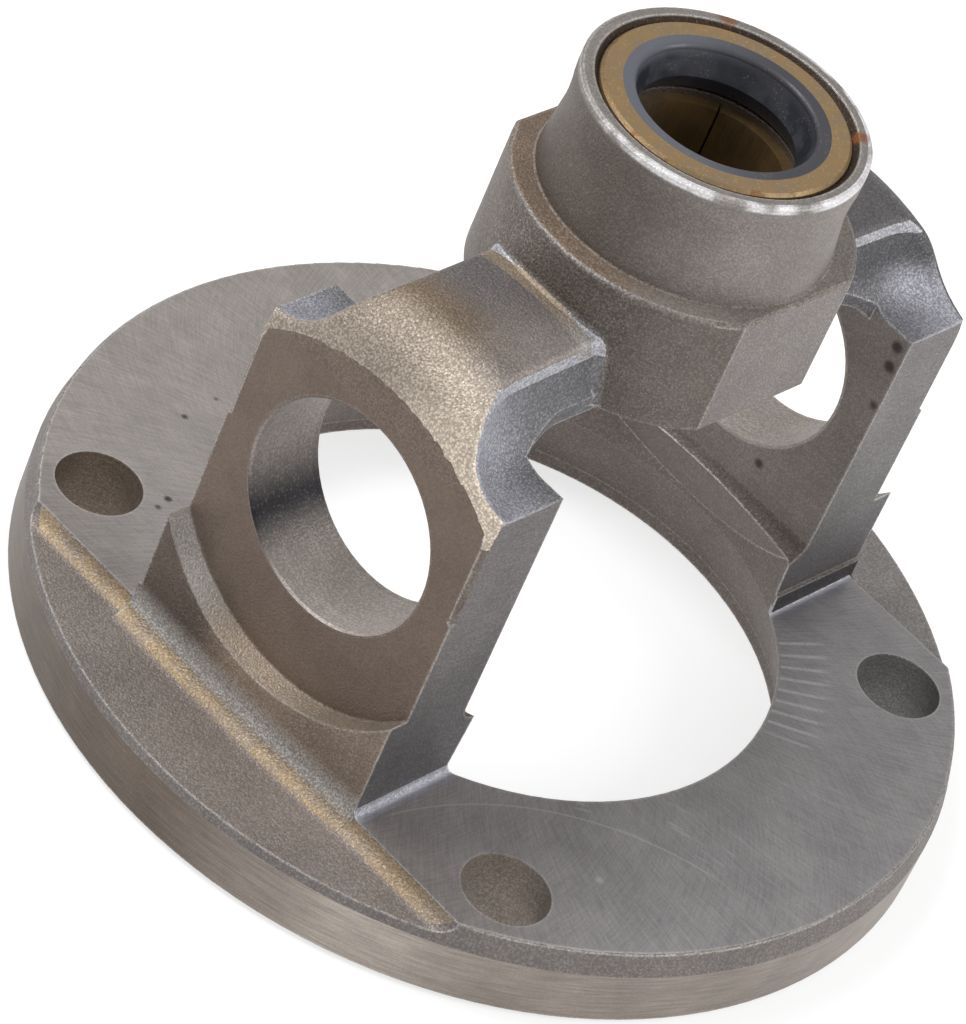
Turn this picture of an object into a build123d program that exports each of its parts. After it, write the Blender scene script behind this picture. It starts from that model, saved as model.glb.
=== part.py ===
"""Forged flange yoke of a double joint, with its centring bushing and grease seal.

The origin is the centre of the flange's back face and +Z runs along the hub.
The two ears stand on the X axis, and the cross bores through them run along X.
All sizes are millimetres.
"""
from build123d import *
from math import atan2, cos, degrees, radians, sin, sqrt, tan
import os

os.makedirs("parts", exist_ok=True)

# Flange
flange_radius = 65.0
turned_band = 8.4          # height of the turned part of the rim
face_height = 11.85        # milled front face
segment_height = 9.75      # as-forged face outside the ears
rim_lean = 0.9             # how far the forged band of the rim leans inward at the front face
rim_round = 0.35           # broken edge of the rim
segment_inset = 0.85       # where the milled face stops, inside the foot of the ears' flanks
segment_cove = 2.6         # forged cove from there down to the as-forged face
bolt_margin = 9.0          # from the bolt circle to the rim
bolt_hole_radius = 6.0
bolt_count = 4

# Opening through the flange
pilot_radius = 42.4
pilot_depth = 2.0
opening_radius = 38.5      # at the front face
throat_radius = 37.6       # at the ears' inner ledge

# Ears
ear_inner = 34.2           # milled inner face, from the middle
ear_outer = 46.4           # spot-faced outer face, from the middle
spot_depth = 3.9           # how far the forged flank's foot stands out from the spot face
spot_skin = 0.15           # what the spot-facing takes off the flank beside the roof
ear_half_width = 20.75     # milled side faces
bore_height = 44.2
bore_radius = 15.1
bore_edge = 0.3            # broken edge of the cross bores
spot_radius = 26.65        # spot-facing cutter, about the cross bore
flank_bulge = 350.0        # radius of the lower flank seen from above
flank_shift = 6.0          # how far the forging lies to one side of the cutters' middle
foot_cove = 3.1            # forged cove between the flank and the flange
side_cove = 1.25           # cutter's corner at the foot of the side faces
ledge_height = 21.4        # floor of the inner milling
ledge_corner = 3.0
wall_bulge = 110.0         # radius of the forged inner wall seen from above
wall_inset = 1.0           # top of the inner wall, inside and above the milled corner
wall_draft = 28.4          # how much the inner wall leans inward, in degrees
step_depth = 0.5           # pad that the side cutter leaves at the foot of one side of each ear
step_height = 15.0

# Arms between the ears and the hub
roof_at_hub = 73.5         # height where the roof meets the hub, on the middle line
roof_fall = 0.7            # how much lower the roof is at the ear
roof_crown = 39.5          # radius of the roof across the arm
roof_edge_round = 9.6      # forged rounding from the roof down to the outer flank
neck_edge_round = 1.2      # forged rounding between the roof and the pockets
arm_underside = 62.0
arm_underside_round = 10.0
arm_round_reach = 7.0      # how much of that round shows, along the arm
arm_flare = 2.4            # how much wider the arm's foot is at the ear
arm_half_width = 11.3      # at the underside
pocket_side = 11.8         # pocket beside the arm, at the height of the shoulder
pocket_reach = 2.9         # how far the pocket runs past the spot face
pocket_radius = 13.3
pocket_draft = 12.0
pocket_cove = 6.7
shoulder_height = 60.85    # top of the ear at its side faces

# Hub and collar
hub_radius = 23.1
hub_flat = 20.7            # milled flats, from the middle
hub_bottom = 62.4
hub_top = 80.2
hub_edge_round = 0.6
roof_cove = 0.8            # cove where the roof runs into the hub
web_radius = 3.0           # upright cove between the arm's sides and the hub
web_bite = 0.05            # how far the cove reaches into the faces that it joins
collar_foot_radius = 19.7
collar_waist_radius = 18.85
collar_waist_drop = 4.6    # narrowest place, below the collar's top
collar_rim_radius = 19.05
collar_rim_drop = 2.4
collar_top = 95.6
collar_edge = 0.35

# Seal and bushing
seal_case_radius = 16.4
seal_case_height = 7.0
seal_drop = 0.15           # top of the seal below the collar
seal_lead = 1.0            # lead-in chamfer of the seal's seat
case_wall = 1.2
case_edge = 0.4
case_flange_inner = 13.6
lip_mouth_radius = 11.7
lip_edge_radius = 10.45
lip_edge_drop = 4.0        # how far the lip's edge lies below the mouth
lip_mouth_round = 0.8
lip_wall = 1.6
lip_clearance = 0.8        # from the lip down to the end of the case
lip_groove_radius = 12.6   # middle of the garter spring's wire
spring_wire_radius = 0.7
bushing_bore_radius = 10.32
bushing_wall = 1.6
bushing_relief = 2.45      # space left in the socket under the bushing
bushing_seam = 0.3
bushing_seam_angle = 33.0
seal_to_bushing = 1.0      # shoulder between the seal's seat and the bushing
socket_floor = 3.6         # steel left under the bushing's socket

# Working values: how far a cut runs past a face, and how near a face or edge is when picked by place
past = 1.0
near = 1.0
touching = 0.01

# Values worked out from the sizes above
far = 4 * flange_radius                       # longer than any cut needs
bolt_circle_radius = flange_radius - bolt_margin
flank_foot = ear_outer + spot_depth           # forged outer flank above its foot
flank_top = ear_outer + spot_skin             # forged outer flank beside the roof
segment_edge = flank_foot - segment_inset
pocket_end = ear_outer + pocket_reach
roof_slope = roof_fall / (flank_top - hub_radius)
roof_direction = (-1, 0, roof_slope)
wall_axis = ear_inner - wall_inset - wall_bulge      # middle of the inner wall's curve
collar_waist_height = collar_top - collar_waist_drop
bushing_radius = bushing_bore_radius + bushing_wall
seal_top = collar_top - seal_drop
seal_bottom = seal_top - seal_case_height
bushing_top = seal_bottom - seal_to_bushing
socket_bottom = hub_bottom + socket_floor
bushing_bottom = socket_bottom + bushing_relief
lip_bottom = seal_bottom + lip_clearance


def mirrored_copies(shape):
    """The shape with its mirror images across the XZ plane, the YZ plane and both."""
    across_y = mirror(shape, about=Plane.XZ)
    across_x = mirror(shape, about=Plane.YZ)
    across_both = mirror(across_y, about=Plane.YZ)
    return [shape, across_y, across_x, across_both]


def inner_wall(height):
    """X of the forged inner wall under an ear, on the middle line, at one height."""
    return ear_inner - wall_inset + tan(radians(wall_draft)) * (ledge_height + wall_inset - height)


# Opening: a short straight pilot, then the forged draft, then the walls under the ears
cavity_top = ledge_height + ledge_corner
with BuildPart() as opening:
    with BuildSketch(Plane.XZ):
        with BuildLine():
            Polyline(
                (0, -past),
                (pilot_radius, -past),
                (pilot_radius, pilot_depth),
                (opening_radius, face_height),
                (throat_radius, ledge_height),
                (throat_radius, cavity_top),
                (0, cavity_top),
                close=True,
            )
        make_face()
    revolve(axis=Axis.Z)
    for side in (-1, 1):
        with BuildSketch(Plane.XZ):
            with BuildLine():
                Polyline(
                    (side * wall_axis, -2 * past),
                    (side * inner_wall(-2 * past), -2 * past),
                    (side * inner_wall(cavity_top + past), cavity_top + past),
                    (side * wall_axis, cavity_top + past),
                    close=True,
                )
            make_face()
        revolve(axis=Axis((side * wall_axis, 0, 0), (0, 0, 1)), mode=Mode.INTERSECT)

# Space between the ears: milled faces and ledge below, forged underside of the arms above
with BuildPart() as ear_gap:
    with BuildSketch(Plane.XZ):
        round_start = ear_inner - arm_round_reach
        round_drop = arm_underside_round - sqrt(arm_underside_round**2 - arm_round_reach**2)
        round_end = arm_underside - round_drop
        corner = ear_inner - ledge_corner
        with BuildLine():
            Line((0, ledge_height), (corner, ledge_height))
            CenterArc((corner, ledge_height + ledge_corner), ledge_corner, 270, 90)
            Line((ear_inner, ledge_height + ledge_corner), (ear_inner, round_end))
            RadiusArc((ear_inner, round_end), (round_start, arm_underside), -arm_underside_round)
            Line((round_start, arm_underside), (0, arm_underside))
            mirror(about=Plane.YZ)
        make_face()
    extrude(amount=far, both=True)

# Pocket beside one arm, which leaves the neck above and the ear's shoulder below
corner_centre = (pocket_end - pocket_radius, -pocket_side - pocket_radius)
with BuildPart() as neck_pocket:
    with BuildSketch(Plane.XY.offset(shoulder_height)):
        with BuildLine():
            Polyline(
                (pocket_end - pocket_radius, -pocket_side),
                (0, -pocket_side),
                (0, -2 * ear_half_width),
                (pocket_end, -2 * ear_half_width),
                (pocket_end, -pocket_side - pocket_radius),
            )
            CenterArc(corner_centre, pocket_radius, 0, 90)
        make_face()
    extrude(amount=roof_at_hub - bore_height, taper=-pocket_draft)
    fillet(neck_pocket.faces().sort_by(Axis.Z)[0].edges(), pocket_cove)
neck_pocket_cuts = mirrored_copies(neck_pocket.part)

# Way through beside the arm, down to the milled gap between the ears
with BuildPart() as neck_side:
    with BuildSketch(Plane.XY.offset(arm_underside - arm_underside_round)):
        with BuildLine():
            side_start = (round_start, -arm_half_width)
            side_end = (ear_inner, -arm_half_width - arm_flare)
            RadiusArc(side_start, side_end, 2 * arm_underside_round)
            Polyline(side_end, (ear_inner, -far), (0, -far), (0, -arm_half_width), side_start)
        make_face()
    extrude(amount=shoulder_height + pocket_cove - arm_underside + arm_underside_round)
neck_side_cuts = mirrored_copies(neck_side.part)

# One ear with its arm, in forged form
with BuildPart() as ear:
    with BuildSketch(Plane.YZ.offset(flank_top)):
        roof_apex = roof_at_hub - roof_fall
        roof_side = roof_apex - roof_crown + sqrt(roof_crown**2 - ear_half_width**2)
        with BuildLine():
            Polyline(
                (ear_half_width, roof_side),
                (ear_half_width, turned_band),
                (-ear_half_width - step_depth, turned_band),
                (-ear_half_width - step_depth, step_height),
                (-ear_half_width, step_height),
                (-ear_half_width, roof_side),
            )
            ThreePointArc((ear_half_width, roof_side), (0, roof_apex), (-ear_half_width, roof_side))
        make_face()
    extrude(amount=flank_top, dir=roof_direction)
    roof_edge = ear.edges().filter_by(GeomType.CIRCLE).sort_by(Axis.X)[-1]
    fillet(roof_edge, roof_edge_round)

# Lower flank of the ear, bulged outward, with the cove at its foot
flank_turn = degrees(atan2(2 * ear_half_width, flank_bulge))
flank_axis = flank_foot - flank_bulge
flank_plane = Plane(
    origin=(flank_axis, -flank_shift, 0),
    x_dir=(cos(radians(flank_turn)), -sin(radians(flank_turn)), 0),
    z_dir=(-sin(radians(flank_turn)), -cos(radians(flank_turn)), 0),
)
with BuildPart() as flank:
    with BuildSketch(flank_plane):
        cove_centre = (flank_bulge + foot_cove, segment_height + foot_cove)
        with BuildLine():
            Polyline(
                (flank_bulge, segment_height + foot_cove),
                (flank_bulge, bore_height),
                (flank_bulge - foot_cove - spot_radius, bore_height),
                (flank_bulge - foot_cove - spot_radius, turned_band),
                (flank_bulge + foot_cove, turned_band),
                (flank_bulge + foot_cove, segment_height),
            )
            CenterArc(cove_centre, foot_cove, 180, 90)
        make_face()
    revolve(axis=Axis((flank_axis, -flank_shift, 0), (0, 0, 1)), revolution_arc=2 * flank_turn)
    with BuildSketch(Plane.YZ):
        Rectangle(2 * ear_half_width, far, align=(Align.CENTER, Align.MIN))
        with Locations((-ear_half_width, 0)):
            Rectangle(step_depth, step_height, align=(Align.MAX, Align.MIN))
    extrude(amount=far, mode=Mode.INTERSECT)


# Root of the arm, which widens into the hub with upright coves
with BuildPart() as arm_root:
    for height in (hub_bottom + hub_edge_round, roof_at_hub + past):
        side = pocket_side - (height - shoulder_height) * tan(radians(pocket_draft))
        reach = web_radius - web_bite
        centre_x = sqrt((hub_radius + reach) ** 2 - (side + reach) ** 2)
        to_hub = 1 - web_radius / (hub_radius + reach)
        on_hub = (to_hub * centre_x, -to_hub * (side + reach))
        on_arm = (centre_x, web_bite - side)
        with BuildSketch(Plane.XY.offset(height)):
            with BuildLine():
                Line((on_hub[0], 0), on_hub)
                RadiusArc(on_hub, on_arm, web_radius)
                Line(on_arm, (centre_x, 0))
                mirror(about=Plane.XZ)
            make_face()
    loft()
    add(ear.part, mode=Mode.INTERSECT)
    root_top = arm_root.faces().sort_by(Axis.Z)[-1]
    fillet(root_top.edges().filter_by(lambda edge: abs(edge.center().Y) > pocket_side / 2), neck_edge_round)

with BuildPart() as milled_ear:
    add(ear.part)
    add(flank.part)
    for cut in neck_pocket_cuts:
        add(cut, mode=Mode.SUBTRACT)
    for cut in neck_side_cuts:
        add(cut, mode=Mode.SUBTRACT)
    roof_faces = milled_ear.faces().filter_by(
        lambda face: abs(face.center().Y) < near and face.center().Z > shoulder_height
    )
    neck_edges = roof_faces.edges().filter_by(lambda edge: abs(edge.center().Y) > arm_half_width / 2)
    fillet(neck_edges, neck_edge_round)
    add(arm_root.part)
    with BuildSketch(Plane.YZ.offset(ear_outer)):
        with Locations((0, bore_height)):
            Circle(spot_radius)
            Rectangle(far, far, align=(Align.CENTER, Align.MIN))
    extrude(amount=far, mode=Mode.SUBTRACT)

# Flange and ears, before the hub joins them
with BuildPart() as flange_and_ears:
    with BuildSketch(Plane.XZ):
        with BuildLine():
            Polyline(
                (0, 0),
                (flange_radius, 0),
                (flange_radius, turned_band),
                (flange_radius - rim_lean, face_height),
                (0, face_height),
                close=True,
            )
        make_face()
    revolve(axis=Axis.Z)
    fillet(flange_and_ears.edges().group_by(Axis.Z)[-1], rim_round)
    chamfer(flange_and_ears.edges().group_by(Axis.Z)[0], rim_round)

    # cutter's corner at the foot of the milled side faces
    for side in (-1, 1):
        cove_start = side * ear_half_width
        cove_end = side * (ear_half_width + side_cove)
        with BuildSketch(Plane.YZ):
            with BuildLine():
                Polyline(
                    (cove_end, face_height),
                    (cove_end, turned_band),
                    (0, turned_band),
                    (0, face_height + side_cove),
                    (cove_start, face_height + side_cove),
                )
                RadiusArc((cove_start, face_height + side_cove), (cove_end, face_height), -side * side_cove)
            make_face()
        extrude(amount=flank_foot, both=True)

    # as-forged segments outside the ears, with the forged cove along the milled face
    cove_drop = face_height - segment_height
    cove_end = segment_edge + sqrt(segment_cove**2 - (segment_cove - cove_drop) ** 2)
    with BuildSketch(Plane.XZ):
        with BuildLine():
            RadiusArc((segment_edge, face_height), (cove_end, segment_height), -segment_cove)
            Polyline(
                (cove_end, segment_height),
                (far, segment_height),
                (far, far),
                (segment_edge, far),
                (segment_edge, face_height),
            )
        make_face()
        mirror(about=Plane.YZ)
    extrude(amount=far, both=True, mode=Mode.SUBTRACT)

    # the same level under each ear, where the flank brings its own cove
    with BuildSketch(Plane.XY.offset(segment_height)):
        Rectangle(far, 2 * ear_half_width)
        Rectangle(2 * flank_top, 2 * ear_half_width, mode=Mode.SUBTRACT)
    extrude(amount=far, mode=Mode.SUBTRACT)

    with PolarLocations(0, 2):
        add(milled_ear.part)

    add(opening.part, mode=Mode.SUBTRACT)
    add(ear_gap.part, mode=Mode.SUBTRACT)

# The hub with its milled flats, and the collar that holds the seal
with BuildPart() as hub:
    with BuildSketch(Plane.XY.offset(hub_bottom)):
        Circle(hub_radius)
        Rectangle(far, 2 * hub_flat, mode=Mode.INTERSECT)
    extrude(amount=hub_top - hub_bottom)
    fillet(hub.edges().group_by(Axis.Z)[-1], hub_edge_round)
    fillet(hub.edges().group_by(Axis.Z)[0], hub_edge_round)
    with BuildSketch(Plane.XZ):
        rim_foot = collar_top - collar_rim_drop
        with BuildLine():
            Polyline(
                (0, hub_top - past),
                (collar_foot_radius, hub_top - past),
                (collar_foot_radius, hub_top),
            )
            Spline(
                (collar_foot_radius, hub_top),
                (collar_waist_radius, collar_waist_height),
                (collar_rim_radius, rim_foot),
                tangents=[(-1, 8), (0, 1)],
            )
            Polyline(
                (collar_rim_radius, rim_foot),
                (collar_rim_radius, collar_top - collar_edge),
                (collar_rim_radius - collar_edge, collar_top),
                (0, collar_top),
                (0, hub_top - past),
            )
        make_face()
    revolve(axis=Axis.Z)

# The whole forging, then its seal seat, bushing socket, cross bores and bolt holes
with BuildPart() as yoke:
    add(flange_and_ears.part)
    add(hub.part)
    roof_ends = yoke.edges().filter_by(
        lambda edge: abs(edge.center().Y) < near
        and abs(edge.center().Z - roof_at_hub) < near
        and abs(edge.center().X) < hub_radius + near
    )
    fillet(roof_ends, roof_cove)
    with BuildSketch(Plane.XZ):
        with BuildLine():
            Polyline(
                (0, socket_bottom),
                (bushing_radius, socket_bottom),
                (bushing_radius, seal_bottom),
                (seal_case_radius, seal_bottom),
                (seal_case_radius, collar_top - seal_lead),
                (seal_case_radius + seal_lead, collar_top),
                (0, collar_top),
                close=True,
            )
        make_face()
    revolve(axis=Axis.Z, mode=Mode.SUBTRACT)
    with BuildSketch(Plane.YZ.offset(-ear_outer)):
        with Locations((0, bore_height)):
            Circle(bore_radius)
    extrude(amount=2 * ear_outer, mode=Mode.SUBTRACT)
    bore_mouths = yoke.edges().filter_by(GeomType.CIRCLE).filter_by(
        lambda edge: abs(edge.radius - bore_radius) < touching
        and abs(abs(edge.center().X) - ear_outer) < touching
    )
    chamfer(bore_mouths, bore_edge)
    with BuildSketch(Plane.XY):
        with PolarLocations(bolt_circle_radius, bolt_count, start_angle=45):
            Circle(bolt_hole_radius)
    extrude(amount=face_height, mode=Mode.SUBTRACT)
yoke.part.label = "yoke"
export_step(yoke.part, "parts/yoke.step")

# Wrapped bushing with its open seam
with BuildPart() as centering_bushing:
    with BuildSketch(Plane.XY.offset(bushing_bottom)):
        Circle(bushing_radius)
        Circle(bushing_bore_radius, mode=Mode.SUBTRACT)
        with Locations(Rotation(0, 0, bushing_seam_angle)):
            Rectangle(far, bushing_seam, align=(Align.MIN, Align.CENTER), mode=Mode.SUBTRACT)
    extrude(amount=bushing_top - bushing_bottom)
centering_bushing.part.label = "centering_bushing"
export_step(centering_bushing.part, "parts/centering_bushing.step")

# Pressed steel case of the seal: a cup with its flat face outward
with BuildPart() as seal_case:
    with BuildSketch(Plane.XZ):
        with BuildLine():
            Polyline(
                (seal_case_radius - case_wall, seal_bottom),
                (seal_case_radius, seal_bottom),
                (seal_case_radius, seal_top - case_edge),
                (seal_case_radius - case_edge, seal_top),
                (case_flange_inner, seal_top),
                (case_flange_inner, seal_top - case_wall),
                (seal_case_radius - case_wall, seal_top - case_wall),
                close=True,
            )
        make_face()
    revolve(axis=Axis.Z)
seal_case.part.label = "seal_case"
export_step(seal_case.part, "parts/seal_case.step")

# Rubber bonded in the case, with the lip that runs on the shaft and the groove behind it
spring_height = seal_top - lip_edge_drop
with BuildPart() as seal_lip:
    with BuildSketch(Plane.XZ):
        with BuildLine():
            Polyline(
                (lip_mouth_radius + lip_mouth_round, seal_top),
                (case_flange_inner, seal_top),
                (case_flange_inner, seal_top - case_wall),
                (seal_case_radius - case_wall, seal_top - case_wall),
                (seal_case_radius - case_wall, seal_top - case_wall - lip_wall),
                (case_flange_inner, seal_top - case_wall - lip_wall),
                (lip_groove_radius, spring_height + spring_wire_radius),
            )
            CenterArc((lip_groove_radius, spring_height), spring_wire_radius, 90, 180)
            Polyline(
                (lip_groove_radius, spring_height - spring_wire_radius),
                (lip_groove_radius, lip_bottom),
                (lip_edge_radius + lip_wall / 2, lip_bottom),
                (lip_edge_radius, spring_height),
                (lip_mouth_radius, seal_top - lip_mouth_round),
            )
            CenterArc((lip_mouth_radius + lip_mouth_round, seal_top - lip_mouth_round), lip_mouth_round, 90, 90)
        make_face()
    revolve(axis=Axis.Z)
seal_lip.part.label = "seal_lip"
export_step(seal_lip.part, "parts/seal_lip.step")

# Garter spring in the groove behind the lip, as a plain ring
with BuildPart() as garter_spring:
    with BuildSketch(Plane.XZ):
        with Locations((lip_groove_radius, spring_height)):
            Circle(spring_wire_radius)
    revolve(axis=Axis.Z)
garter_spring.part.label = "garter_spring"
export_step(garter_spring.part, "parts/garter_spring.step")
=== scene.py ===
# %% [markdown]
# # A forged flange yoke, dressed in Blender
#
# The yoke is one steel forging. A hammer made its rough form, and cutters then made the flange face,
# the sides of the ears, the cross bores and the hub. A seal and a wrapped bushing sit in the hub.
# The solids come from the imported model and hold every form, so this script adds no piece. It gives
# each solid its finish, and sets the camera, the floor and the light as the photograph has them.

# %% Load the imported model
from math import cos, pi, radians, sin

import bpy
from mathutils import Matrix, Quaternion, Vector

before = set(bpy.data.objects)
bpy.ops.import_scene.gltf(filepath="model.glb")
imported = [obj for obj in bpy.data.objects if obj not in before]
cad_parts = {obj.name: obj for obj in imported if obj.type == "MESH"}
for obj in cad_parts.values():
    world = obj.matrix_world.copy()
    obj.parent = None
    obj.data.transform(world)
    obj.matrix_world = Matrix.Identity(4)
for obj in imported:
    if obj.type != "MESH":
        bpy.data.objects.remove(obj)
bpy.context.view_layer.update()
print("nodes:", ", ".join(sorted(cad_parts)))

# %% Start with nothing selected and plain colours
bpy.ops.object.select_all(action="DESELECT")
bpy.context.scene.view_settings.view_transform = "Standard"
print("objects selected:", len(bpy.context.selected_objects))

# %% [markdown]
# ## The camera
#
# The photograph was taken from the left front and from above, with the camera turned so that the hub
# leans to the right. A camera can be aimed with a constraint, but a fixed place is easier to check.
# So it gets the azimuth, elevation, turn and distance that were solved from the flange, bores and hub.

# %% Place the camera
VIEW_TARGET = Vector((-0.00659, 0.00414, 0.02476))
VIEW_AZIMUTH = radians(-150.633)
VIEW_ELEVATION = radians(38.773)
VIEW_TURN = radians(24.328)
VIEW_DISTANCE = 0.64505
SENSOR_MM = 36
LENS_MM = 173.9

view_direction = Vector((
    cos(VIEW_ELEVATION) * cos(VIEW_AZIMUTH),
    cos(VIEW_ELEVATION) * sin(VIEW_AZIMUTH),
    sin(VIEW_ELEVATION),
))
lens = bpy.data.cameras.new("camera")
lens.sensor_fit = "VERTICAL"
lens.sensor_height = SENSOR_MM
lens.lens = LENS_MM
lens.clip_start = 0.01
camera = bpy.data.objects.new("camera", lens)
bpy.context.scene.collection.objects.link(camera)
camera.location = VIEW_TARGET + VIEW_DISTANCE * view_direction
aim = (-view_direction).to_track_quat("-Z", "Y")
camera.rotation_mode = "QUATERNION"
camera.rotation_quaternion = aim @ Quaternion((0, 0, 1), VIEW_TURN)
bpy.context.scene.camera = camera
print("camera at", [round(x, 3) for x in camera.location])

# %% [markdown]
# ## Nodes by hand, in fewer words
#
# A material is a web of small nodes. Placing each one with its links takes many lines, so one helper
# adds a node, sets its sockets and returns its result. A socket takes either a number or another
# node's result. The finishes below then read from top to bottom, like a recipe.

# %% A helper that adds nodes
class Web:
    """Adds nodes to one tree. A socket is given a value or another node's output."""

    def __init__(self, tree):
        self.tree = tree

    def put(self, socket, value):
        if isinstance(value, bpy.types.NodeSocket):
            self.tree.links.new(value, socket)
        elif value is not None:
            socket.default_value = value

    def node(self, kind, inputs=(), **settings):
        """Adds a node. The settings come first, because some of them change its sockets."""
        made = self.tree.nodes.new(kind)
        for name, value in settings.items():
            setattr(made, name, value)
        for name, value in dict(inputs).items():
            self.put(made.inputs[name], value)
        return made

    def math(self, operation, a, b=None, c=None, clamp=False):
        made = self.node("ShaderNodeMath", operation=operation, use_clamp=clamp)
        for socket, value in zip(made.inputs, (a, b, c)):
            self.put(socket, value)
        return made.outputs[0]

    def vector(self, operation, a, b=None):
        made = self.node("ShaderNodeVectorMath", operation=operation)
        self.put(made.inputs[0], a)
        self.put(made.inputs[1], b)
        gives_number = operation in ("LENGTH", "DOT_PRODUCT", "DISTANCE")
        return made.outputs["Value" if gives_number else "Vector"]

    def ramp(self, value, low, high, to_low=0.0, to_high=1.0):
        """Goes smoothly from to_low to to_high as the value goes from low to high."""
        made = self.node("ShaderNodeMapRange", {
            "Value": value, "From Min": low, "From Max": high, "To Min": to_low, "To Max": to_high,
        }, interpolation_type="SMOOTHSTEP")
        return made.outputs["Result"]

    def mix(self, share, a, b, blend="MIX"):
        """Mixes two colours. The mix node keeps its colour sockets behind those for numbers."""
        made = self.node("ShaderNodeMix", data_type="RGBA", blend_type=blend)
        for index, value in ((0, share), (6, a), (7, b)):
            self.put(made.inputs[index], value)
        return made.outputs[2]

    def blend(self, share, a, b):
        """Mixes two numbers."""
        made = self.node("ShaderNodeMix", data_type="FLOAT")
        for index, value in ((0, share), (2, a), (3, b)):
            self.put(made.inputs[index], value)
        return made.outputs[0]

    def split(self, vector):
        return self.node("ShaderNodeSeparateXYZ", {"Vector": vector}).outputs

    def join(self, x, y, z):
        return self.node("ShaderNodeCombineXYZ", {"X": x, "Y": y, "Z": z}).outputs[0]

    def above(self, value, edge, soft=0.0):
        """White above the edge. A soft edge needs a ramp, a sharp one is quicker to work out."""
        if soft == 0.0:
            return self.math("GREATER_THAN", value, edge)
        return self.ramp(value, edge - soft / 2, edge + soft / 2)

    def below(self, value, edge, soft=0.0):
        """White below the edge."""
        if soft == 0.0:
            return self.math("LESS_THAN", value, edge)
        return self.ramp(value, edge - soft / 2, edge + soft / 2, 1.0, 0.0)

    def near(self, value, target, reach):
        """White where the value is no further than reach from the target."""
        return self.math("COMPARE", value, target, reach)

    def both(self, first, *others):
        """The product of masks: white only where all of them are white."""
        for other in others:
            first = self.math("MULTIPLY", first, other)
        return first

    def noise(self, place, scale, detail=2.0, roughness=0.5):
        made = self.node("ShaderNodeTexNoise", {
            "Vector": place, "Scale": scale, "Detail": detail, "Roughness": roughness,
        })
        return made.outputs["Fac"]

    def effect(self, group, **given):
        """Places an effect group with its own values and returns its results."""
        return self.node("ShaderNodeGroup", given, node_tree=group).outputs


print("helper ready")

# %% [markdown]
# ## Floor and light
#
# The photograph has a white ground and soft light from a large lamp above and to the left.
# The floor could be lit until it is white, but that would bleach the yoke too. So the floor is
# white by its own glow for the camera and for reflections only, and keeps the yoke's shadow.

# %% Make the floor
FLOOR_SIZE = 6
FLOOR_GAP = 0.0004
FLOOR_GLOW = 0.72

bpy.ops.mesh.primitive_plane_add(size=FLOOR_SIZE, location=(0, 0, -FLOOR_GAP))
floor = bpy.context.object
floor.name = "floor"
floor_finish = bpy.data.materials.new("floor")
floor_finish.use_nodes = True
web = Web(floor_finish.node_tree)
shader = web.tree.nodes["Principled BSDF"]
web.put(shader.inputs["Base Color"], (0.40, 0.40, 0.40, 1))
web.put(shader.inputs["Roughness"], 0.9)
rays = web.node("ShaderNodeLightPath").outputs
mirrored = web.math("MAXIMUM", rays["Is Glossy Ray"], rays["Is Transmission Ray"])
seen = web.math("MAXIMUM", rays["Is Camera Ray"], mirrored)
web.put(shader.inputs["Emission Color"], (1, 1, 1, 1))
web.put(shader.inputs["Emission Strength"], web.math("MULTIPLY", seen, FLOOR_GLOW))
floor.data.materials.append(floor_finish)
print("floor", floor.dimensions[:2])

# %% Set the lamps and the sky
LAMP_WIDTH = 0.9
KEY_PLACE = Vector((-0.4, 0.9, 1.4))
KEY_WATTS = 17
SIDE_PLACE = Vector((0.6, -1.3, 1.0))
SIDE_WATTS = 11
SKY_STRENGTH = 0.45


def lamp(name, place, watts):
    """A soft square lamp that points at the yoke."""
    light = bpy.data.lights.new(name, "AREA")
    light.size = LAMP_WIDTH
    light.energy = watts
    made = bpy.data.objects.new(name, light)
    bpy.context.scene.collection.objects.link(made)
    made.location = place
    made.rotation_euler = (VIEW_TARGET - place).to_track_quat("-Z", "Y").to_euler()


lamp("key_lamp", KEY_PLACE, KEY_WATTS)
lamp("side_lamp", SIDE_PLACE, SIDE_WATTS)
sky = bpy.data.worlds.new("sky")
sky.use_nodes = True
bpy.context.scene.world = sky
background = sky.node_tree.nodes["Background"]
background.inputs["Color"].default_value = (1, 1, 1, 1)
background.inputs["Strength"].default_value = SKY_STRENGTH

# %% [markdown]
# ## Three effects that make the finishes
#
# Every finish on the yoke comes from a few causes: the forging die and the shot blast leave grain,
# the cutters leave fine lines, and handling rubs the sharp edges bright, with a painted highlight on
# them.
# Each cause is one group of nodes with named sockets, which a finish places with its own sizes. A
# painted image would also do, but it would need unwrapping, and these groups work in millimetres on any
# shape.

# %% A helper that starts a group
def effect(name, inputs, outputs):
    """A new node group. It returns the group, its web, its given values and its results."""
    tree = bpy.data.node_groups.new(name, "ShaderNodeTree")
    for socket in inputs:
        kind = "NodeSocketVector" if socket == "Place" else "NodeSocketFloat"
        tree.interface.new_socket(socket, in_out="INPUT", socket_type=kind)
    for socket in outputs:
        tree.interface.new_socket(socket, in_out="OUTPUT", socket_type="NodeSocketFloat")
    group_web = Web(tree)
    given = tree.nodes.new("NodeGroupInput").outputs
    results = tree.nodes.new("NodeGroupOutput").inputs
    return tree, group_web, given, results


print("groups so far:", len(bpy.data.node_groups))

# %% [markdown]
# The grain of a forged skin is a field of small facets, about half a millimetre across. Some of them
# face the light and shine, so the effect gives a height for the bump, a mask of bright specks, and
# slow clouds for the scale that stays on the skin in patches.

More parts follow.
